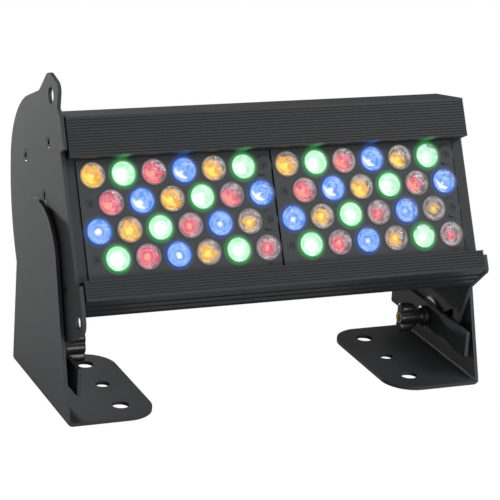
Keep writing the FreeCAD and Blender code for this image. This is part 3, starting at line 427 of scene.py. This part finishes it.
def crescent(tree, off, uneven, strength):
    """How much of the bright crescent shows at the lower left of a lit patch."""
    distance = vectors(tree, "LENGTH", vectors(tree, "SUBTRACT", off, CRESCENT_MIDDLE))
    distance = plus(tree, distance, times(tree, uneven, CRESCENT_UNEVEN))
    ends = fade(tree, vectors(tree, "DOT_PRODUCT", off, LOWER_LEFT), *CRESCENT_ENDS)
    return times(tree, line(tree, distance, *CRESCENT_LINE), ends, strength)


def bright_die(tree, away, uneven, crescent_strength, fill, size):
    """How much of the bright die shows in the middle of a lit patch."""
    distance = plus(tree, away, times(tree, uneven, HEART_UNEVEN))
    distance = plus(tree, distance, times(tree, crescent_strength, HEART_BY_CRESCENT))
    distance = minus(tree, distance, times(tree, fill, HEART_BY_FILL))
    return fade(tree, distance, size + HEART_EDGE, size - HEART_EDGE)


def painted_glints(tree, spot, out, seed):
    """Painted highlights: facets of the bowl at the upper right painted bright, and their tint.
    """
    vector = vectors(tree, "ADD", spot, seed)
    facets = add_node(tree, "TexVoronoi", {"Scale": FACETS, "Vector": vector}).outputs
    draw = add_node(tree, "SeparateColor", {0: facets["Color"]}).outputs
    strength = times(
        tree,
        fade(tree, draw[0], *FACET_CHOSEN),
        fade(tree, facets["Distance"], *FACET_SIZE),
        fade(tree, vectors(tree, "DOT_PRODUCT", spot, UPPER_RIGHT), *GLINT_INSIDE),
        fade(tree, out, *GLINT_OUTSIDE),
        GLINT_STRENGTH,
    )
    return strength, blend(tree, fade(tree, draw[1], *GLINT_TINT_EDGE), *GLINT_TINTS)


def lit_bowl(colour):
    """Lit lens: bright die, rings or a crescent round it, streaked body, a rim, and a clear
    faceted part painted with a grey glow in streaks and with highlights.
    """
    look = LIT[colour]
    made, tree, shader = node_material(colour + "_lit_bowl")
    swing = carried(tree, "swing")
    rings, crescent_strength, fill = parts_of(tree, carried(tree, "mood"))

    # Place on the lens from -1 to 1, its distance from the middle, and both from the lit patch
    picture = add_node(tree, "TexCoord").outputs["UV"]
    spot = vectors(tree, "MULTIPLY", picture, (2.0, 2.0, 0.0))
    spot = vectors(tree, "SUBTRACT", spot, (1.0, 1.0, 0.0))
    out = vectors(tree, "LENGTH", spot)
    off = vectors(tree, "SUBTRACT", spot, swing)
    away = vectors(tree, "LENGTH", off)

    # Blotches, and streaks that run round the lens, other ones in each lens
    seed = scaled(tree, swing, LENS_CHANCE)
    blotch = noise_at(tree, vectors(tree, "ADD", spot, seed), BLOTCHES)
    uneven = minus(tree, blotch, NOISE_MEAN)
    direction = vectors(tree, "MULTIPLY", vectors(tree, "NORMALIZE", spot), STREAK_ROUND)
    ray = vectors(tree, "ADD", direction, combined(tree, z=times(tree, out, STREAK_OUT)))
    ray = vectors(tree, "ADD", ray, seed)
    streak = fade(tree, noise_at(tree, ray, STREAKS), *STREAK_EDGE)

    # Clear glass outside the lit patch painted as a grey glow in streaks, colour inside it
    patch = fade(
        tree, minus(tree, plus(tree, away, uneven), fill),
        look["reach"] + PATCH_PAST_REACH, look["reach"] - PATCH_INSIDE_REACH,
    )
    clear = blend(tree, streak, CLEAR_DARK, CLEAR_LIGHT)
    shade = blend(tree, patch, clear, blend(tree, streak, look["body"], look["light"]))

    # Groove and ring in the lit patch, then the crescent, the die, the rim and the painted
    # highlights on the facets
    ringed = times(tree, patch, rings)
    groove = times(tree, line(tree, away, *GROOVE), ringed)
    ring = times(tree, line(tree, away, *RING), ringed, RING_STRENGTH)
    moon = crescent(tree, off, uneven, crescent_strength)
    die = bright_die(tree, away, uneven, crescent_strength, fill, look["heart"])
    rim = times(tree, fade(tree, out, *RIM_EDGE), RIM_STRENGTH)
    for strength, tone in (
        (groove, look["body"]), (ring, look["light"]), (moon, look["core"]),
        (die, look["core"]), (rim, look["rim"]), painted_glints(tree, spot, out, seed),
    ):
        shade = blend(tree, strength, shade, tone)
    feed(tree, shader, {
        "Emission Color": shade,
        "Emission Strength": 1.0,
        "Base Color": (*UNLIT_BASE, 1),
        "Roughness": 0.25,
        "Normal": bumped(tree, blotch, 0.0006, 0.6),
    })
    return made


def clear_glass(colour):
    """Clear front of a collimator, with the fine pillows of its face."""
    made, tree, shader = node_material(colour + "_clear_front")
    picture = add_node(tree, "TexCoord").outputs["UV"]
    pillows = add_node(tree, "TexVoronoi", {"Scale": 17.0, "Vector": picture})
    pillow = pillows.outputs["Distance"]
    feed(tree, shader, {
        "Base Color": (0.98, 0.98, 0.98, 1),
        "Transmission Weight": 1.0,
        "IOR": 1.3,
        "Roughness": ranged(tree, pillow, 0.03, 0.10),
        "Normal": bumped(tree, pillow, 0.0003, 0.35),
    })
    return made


def painted_spill(made, power, widest):
    """Painted glow of the coloured light that the green and the blue lenses throw on what lies
    round them.
    """
    tree = made.node_tree
    place = add_node(tree, "TexCoord").outputs["Object"]
    x = parts_of(tree, place)[0]
    from_pivot = vectors(tree, "SUBTRACT", place, tuple(PIVOT))
    upwards = (0.0, math.sin(LEAN), math.cos(LEAN))
    backwards = (0.0, math.cos(LEAN), -math.sin(LEAN))
    up = plus(tree, vectors(tree, "DOT_PRODUCT", from_pivot, upwards), PIVOT_UP)
    back = plus(tree, vectors(tree, "DOT_PRODUCT", from_pivot, backwards), PIVOT_BACK)
    in_front = fade(tree, back, *SPILL_DEPTH)
    along = minus(tree, x, times(tree, maths(tree, "SIGN", x), MODULE_CENTRE))
    total = None
    for row, first in enumerate(ROW_START):
        in_row = minus(tree, along, row_shift(row) - FIRST_LENS)
        in_row = maths(tree, "DIVIDE", in_row, LENS_PITCH)
        column = maths(tree, "MINIMUM", maths(tree, "ROUND", in_row), COLUMNS - 1)
        column = maths(tree, "MAXIMUM", column, 0)
        across = times(tree, minus(tree, in_row, column), LENS_PITCH)
        height = minus(tree, up, row_height(row))
        far = vectors(tree, "LENGTH", combined(tree, across, height))
        far = maths(tree, "DIVIDE", far, LENS_RADIUS)
        near = maths(tree, "POWER", fade(tree, far, widest, SPILL_FULL), SPILL_FALL)
        near = times(tree, near, in_front)
        number = maths(tree, "MODULO", plus(tree, column, first), len(COLOURS))
        for colour, tone in SPILL.items():
            same = maths(tree, "COMPARE", number, COLOURS.index(colour), SAME_NUMBER)
            glow = scaled(tree, tone, times(tree, near, same))
            total = glow if total is None else vectors(tree, "ADD", total, glow)
    shader = tree.nodes["Principled BSDF"]
    feed(tree, shader, {"Emission Color": total, "Emission Strength": power})


FINISH = {
    "sheet_black": coated_sheet(),
    "rail_black": anodised_rail(),
    "plate_black": plain("module_black", (0.020, 0.026, 0.029), (0.029, 0.036, 0.040), 0.55),
    "gasket_black": plain("gasket_rubber", (0.012, 0.012, 0.012), (0.02, 0.02, 0.02), 0.8),
    "bare_aluminium": plain("mill_aluminium", (0.5, 0.5, 0.51), (0.62, 0.62, 0.63), 0.35, 1.0),
    "board_black": plain("board_mask", (0.012, 0.016, 0.014), (0.02, 0.025, 0.022), 0.4),
    "board_green": plain("green_board_mask", (0.01, 0.1, 0.04), (0.02, 0.15, 0.06), 0.4),
    "screw_black": plain("black_screw", (0.016, 0.019, 0.020), (0.026, 0.029, 0.030), 0.56),
    "steel": plain("plain_steel", (0.5, 0.5, 0.5), (0.62, 0.62, 0.62), 0.32, 1.0),
    "washer_bright": plain("bright_plating", (0.75, 0.75, 0.76), (0.85, 0.85, 0.86), 0.15, 1.0),
    "friction_grey": plain("friction_fibre", (0.04, 0.04, 0.04), (0.07, 0.07, 0.07), 0.75),
    "bush_white": plain("natural_nylon", (0.6, 0.6, 0.56), (0.7, 0.7, 0.66), 0.5),
    "knob_black": plain("moulded_black", (0.012, 0.012, 0.012), (0.02, 0.02, 0.021), 0.3),
    "brass": plain("turned_brass", (0.6, 0.42, 0.15), (0.75, 0.55, 0.25), 0.3, 1.0),
    "supply_case": plain("zinc_case", (0.45, 0.45, 0.46), (0.58, 0.58, 0.59), 0.4, 1.0),
}
FINISH["socket_black"] = FINISH["knob_black"]
painted_spill(FINISH["plate_black"], 1.0, 1.42)
painted_spill(FINISH["rail_black"], 2.6, 1.5)
for colour in LIT:
    FINISH[colour + "_lens"] = lit_bowl(colour)
    FINISH[colour + "_emitter"] = glowing_die(colour)

for part in frame["record"]["subparts"]:
    for slot in frame["nodes"][part["node"]].material_slots:
        slot.material = FINISH[part["material_slot"]]


# Pieces


def wall(level, after, around):
    """Faces between two rings of a mesh."""
    for step in range(around):
        beside = (step + 1) % around
        yield (
            level * around + step, level * around + beside,
            after * around + beside, after * around + step,
        )


def smooth_mesh(name, verts, faces, sharp):
    """Mesh that is shaded smooth except over edges sharper than an angle."""
    mesh = bpy.data.meshes.new(name)
    mesh.from_pydata(verts, [], faces)
    for face in mesh.polygons:
        face.use_smooth = True
    mesh.set_sharp_from_angle(angle=sharp)
    return mesh


def turned(name, profile, around, sharp):
    """Mesh turned about z from a profile, with a flat picture of it as UV."""
    verts = []
    for ring in profile:
        radius, height = ring[0] * MM, ring[1] * MM
        for step in range(around):
            turn = math.tau * step / around
            out = radius / math.cos(turn % FLAT - FLAT / 2) if HEX in ring else radius
            verts.append((out * math.cos(turn), out * math.sin(turn), height))
    last = len(profile) - 1
    faces = [face for level in range(last) for face in wall(level, level + 1, around)]
    faces.append([last * around + step for step in range(around)])
    mesh = smooth_mesh(name, verts, faces, sharp)
    width = 2 * MM * max(ring[0] for ring in profile)
    picture = mesh.uv_layers.new(name="UVMap")
    for corner in mesh.loops:
        place = mesh.vertices[corner.vertex_index].co
        picture.data[corner.index].uv = (0.5 + place.x / width, 0.5 + place.y / width)
    return mesh


def repeat_tree(name):
    """Geometry nodes that set a piece at every point and give the real copies their finish."""
    tree = bpy.data.node_groups.new(name + "_repeat", "GeometryNodeTree")
    new_socket = tree.interface.new_socket
    new_socket("Geometry", in_out="INPUT", socket_type="NodeSocketGeometry")
    inputs = {
        label: new_socket(label, in_out="INPUT", socket_type=kind).identifier
        for label, kind in (
            ("Piece", "NodeSocketObject"),
            ("Turn", "NodeSocketVector"),
            ("Finish", "NodeSocketMaterial"),
        )
    }
    new_socket("Geometry", in_out="OUTPUT", socket_type="NodeSocketGeometry")
    start = tree.nodes.new("NodeGroupInput")
    end = tree.nodes.new("NodeGroupOutput")
    info = tree.nodes.new("GeometryNodeObjectInfo")
    place = tree.nodes.new("GeometryNodeInstanceOnPoints")
    real = tree.nodes.new("GeometryNodeRealizeInstances")
    paint = tree.nodes.new("GeometryNodeSetMaterial")
    for source, output, target, entry in (
        (start, "Geometry", place, "Points"),
        (start, "Piece", info, "Object"),
        (info, "Geometry", place, "Instance"),
        (start, "Turn", place, "Rotation"),
        (place, "Instances", real, "Geometry"),
        (real, "Geometry", paint, "Geometry"),
        (start, "Finish", paint, "Material"),
        (paint, "Geometry", end, "Geometry"),
    ):
        tree.links.new(source.outputs[output], target.inputs[entry])
    return tree, inputs


def repeat(name, piece, spots, turn, material, body, looks=None):
    """Set one piece at every spot with geometry nodes and turn the result into a mesh."""
    points = bpy.data.meshes.new(name + "_spots")
    points.from_pydata([tuple(spot) for spot in spots], [], [])
    for look, values in (looks or {}).items():
        carried_look = points.attributes.new(look, "FLOAT_VECTOR", "POINT")
        for index, value in enumerate(values):
            carried_look.data[index].vector = value
    pattern = bpy.data.objects.new(name + "_pattern", piece)
    holder = bpy.data.objects.new(name + "_spots", points)
    tree, inputs = repeat_tree(name)
    grown = holder.modifiers.new("repeat", "NODES")
    grown.node_group = tree
    grown[inputs["Piece"]] = pattern
    grown[inputs["Turn"]] = turn
    grown[inputs["Finish"]] = material
    link = bpy.context.scene.collection.objects.link
    link(holder)
    link(pattern)
    graph = bpy.context.evaluated_depsgraph_get()
    mesh = bpy.data.meshes.new_from_object(
        holder.evaluated_get(graph), preserve_all_data_layers=True, depsgraph=graph)
    mesh.name = name
    made = bpy.data.objects.new(name, mesh)
    link(made)
    holder.modifiers.remove(grown)
    bpy.data.objects.remove(holder)
    bpy.data.objects.remove(pattern)
    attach(made, body)
    return made


def lit_patch(module, row, column):
    """Swing and mood of the lit patch of one lens.

    The mood is how strong the rings are, how strong the crescent is and how far the colour
    fills the lens.
    """
    turn = SWAY_BY_COLUMN * column + SWAY_BY_ROW * row + module
    to_side, to_top, to_edge = (turn * turns for turns in SWAY_TURNS)
    right, below = module > 0, row >= ROWS / 2
    rows = LOWER_ROWS if below else UPPER_ROWS
    lean = rows["lean"]
    swing = (lean[0] + SWAY * math.sin(to_side), lean[1] + SWAY * math.cos(to_top), 0)
    fill = FILL_FIRST - FILL_LESS_BY_COLUMN * column + SWAY * math.sin(to_edge)
    fill -= (
        FILL_LESS_AT_RIGHT * right + FILL_LESS_BELOW * below
        + FILL_LESS_AT_BOTH * (right and below)
    )
    return swing, (rows["rings"], rows["crescent"], fill)


def lens_spots():
    """Places of all lenses by colour, each with the swing and the mood of its lit patch."""
    spots = {colour: [] for colour in COLOURS}
    for _, module in SIDES:
        for row in range(ROWS):
            for column in range(COLUMNS):
                colour = COLOURS[(ROW_START[row] + column) % len(COLOURS)]
                x = module * MODULE_CENTRE - FIRST_LENS + row_shift(row) + column * LENS_PITCH
                place = on_head(x, 0, row_height(row))
                spots[colour].append((place, *lit_patch(module, row, column)))
    return spots


def lenses():
    """Lens bowls and their clear fronts, one set per colour."""
    bowl = turned("lens_bowl", BOWL_PROFILE, LENS_AROUND, LENS_SHARP)
    front = turned("lens_front", FRONT_PROFILE, LENS_AROUND, LENS_SHARP)
    turn = (math.pi / 2 - LEAN, 0, 0)
    for colour, spots in lens_spots().items():
        places, swings, moods = zip(*spots)
        looks = {"swing": swings, "mood": moods}
        finish = FINISH[colour + "_lens"]
        bowls = repeat(colour + "_lens_bowls", bowl, places, turn, finish, "head", looks)
        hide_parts(colour + "_lenses")
        finish = clear_glass(colour)
        fronts = repeat(colour + "_lens_fronts", front, places, turn, finish, "head")


def screws():
    """Socket screws of the module plates and the end plates."""
    small = turned("module_screw", MODULE_SCREW_PROFILE, SCREW_AROUND, SCREW_SHARP)
    large = turned("end_screw", END_SCREW_PROFILE, SCREW_AROUND, SCREW_SHARP)
    finish = FINISH["screw_black"]
    for side, module in SIDES:
        first = module * MODULE_CENTRE - FIRST_LENS
        before = first - SCREW_BEFORE_ROW
        after = first + (COLUMNS - 1) * LENS_PITCH + SCREW_AFTER_ROW
        places = [
            on_head(before if row % 2 else after, SCREW_SEAT, row_height(row))
            for row in range(ROWS)
        ]
        turn = (math.pi / 2 - LEAN, 0, 0)
        made = repeat(side + "_plate_screws", small, places, turn, finish, "head")
        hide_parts(side + "_module_screws")
        places = [on_head(module * PLATE_OUTSIDE, back, up) for back, up in END_SCREWS]
        turn = (math.pi / 2, 0, module * math.pi / 2)
        made = repeat(side + "_end_heads", large, places, turn, finish, "head")
        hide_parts(side + "_end_screws")


def wing_reach(turn):
    """How far the wing of a knob reaches from its axis, by direction, in millimetres."""
    aside, along = abs(math.sin(turn)) + TINY, abs(math.cos(turn)) + TINY
    reach = [HUB_RADIUS, min(WING_HALF_THICK / aside, WING_HALF_LONG / along)]
    past = WING_HALF_LONG * aside
    if past < WING_END_RADIUS:
        reach.append(WING_HALF_LONG * along + math.sqrt(WING_END_RADIUS ** 2 - past ** 2))
    rounded = sum(value ** WING_CORNER for value in reach) ** (1 / WING_CORNER)
    return min(rounded, WING_REACH)


def wing_knobs():
    """Moulded wing knobs with a round foot, a waist and a flared rounded wing."""
    for side, toward in (("left", 1), ("right", -1)):
        low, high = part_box(side + "_knob")
        centre = middle(side + "_knob")
        start = low[0] if toward > 0 else high[0]
        verts = []
        faces = []
        for level, (out, hub, wing) in enumerate(KNOB_LEVELS):
            for step in range(KNOB_AROUND):
                turn = math.tau * step / KNOB_AROUND
                reach = (hub + (wing_reach(turn) - HUB_RADIUS) * wing) * MM
                verts.append((
                    start + toward * out * MM,
                    centre.y + reach * math.sin(turn),
                    centre.z + reach * math.cos(turn),
                ))
            for face in wall(level, (level + 1) % len(KNOB_LEVELS), KNOB_AROUND):
                faces.append(face if toward < 0 else face[::-1])
        mesh = smooth_mesh(side + "_wing_knob", verts, faces, KNOB_SHARP)
        mesh.materials.append(FINISH["knob_black"])
        made = bpy.data.objects.new(side + "_wing_knob", mesh)
        bpy.context.scene.collection.objects.link(made)
        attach(made, side + "_wing_knob")
        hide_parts(side + "_knob")


# Camera and studio


def camera():
    """Camera where the photograph was taken from."""
    sideways, level = math.sin(CAMERA_AZIMUTH), math.cos(CAMERA_AZIMUTH)
    flat, rise = math.cos(CAMERA_ELEVATION), math.sin(CAMERA_ELEVATION)
    back = Vector((sideways * flat, -level * flat, rise))
    right = Vector((level, sideways, 0))
    up = back.cross(right)
    rolled_right = math.cos(CAMERA_ROLL) * right + math.sin(CAMERA_ROLL) * up
    rolled_up = -math.sin(CAMERA_ROLL) * right + math.cos(CAMERA_ROLL) * up
    turn = Matrix((rolled_right, rolled_up, back)).transposed()
    data = bpy.data.cameras.new("photo_camera")
    data.lens = CAMERA_LENS
    data.sensor_width = CAMERA_SENSOR
    data.clip_end = CAMERA_FARTHEST
    seen = bpy.data.objects.new("photo_camera", data)
    seen.matrix_world = Matrix.Translation(CAMERA_PLACE) @ turn.to_4x4()
    bpy.context.scene.collection.objects.link(seen)
    bpy.context.scene.camera = seen


def lamp(name, place, aim, wide, tall, power, beam):
    """Soft lamp with a flat glowing face aimed at a point."""
    data = bpy.data.lights.new(name, "AREA")
    data.shape = "RECTANGLE"
    data.size = wide
    data.size_y = tall
    data.energy = power
    data.spread = math.radians(beam)
    lit = bpy.data.objects.new(name, data)
    lit.location = place
    lit.rotation_euler = (Vector(aim) - Vector(place)).to_track_quat("-Z", "Y").to_euler()
    bpy.context.scene.collection.objects.link(lit)


def pale_room():
    """Surroundings that look white to the camera and through glass, and light the object less."""
    world = bpy.data.worlds.new("studio")
    bpy.context.scene.world = world
    world.use_nodes = True
    tree = world.node_tree
    path = add_node(tree, "LightPath").outputs
    seen = maths(tree, "MAXIMUM", path["Is Camera Ray"], path["Is Transmission Ray"])
    strength = ranged(tree, seen, ROOM_LIGHT, 1.0)
    feed(tree, tree.nodes["Background"], {"Color": WHITE, "Strength": strength})


def pale_floor():
    """Floor that looks white to the camera and bounces light as a pale one does."""
    bpy.ops.mesh.primitive_plane_add(size=FLOOR_SIZE, location=FLOOR_PLACE)
    floor = bpy.context.object
    floor.name = "floor"
    made, tree, shader = node_material("pale_floor")
    feed(tree, shader, {"Base Color": FLOOR_TONE, "Roughness": 0.9})
    white = add_node(tree, "Emission", {"Color": WHITE})
    chosen = add_node(tree, "MixShader", {
        0: add_node(tree, "LightPath").outputs["Is Camera Ray"],
        1: shader.outputs[0],
        2: white.outputs[0],
    })
    feed(tree, tree.nodes["Material Output"], {"Surface": chosen.outputs[0]})
    floor.data.materials.append(made)


def studio():
    """Pale floor, pale surroundings and soft lamps."""
    bpy.context.scene.view_settings.view_transform = "Standard"
    pale_room()
    pale_floor()
    for name, setup in LAMPS.items():
        lamp(name, *setup)


lenses()
screws()
wing_knobs()
camera()
studio()
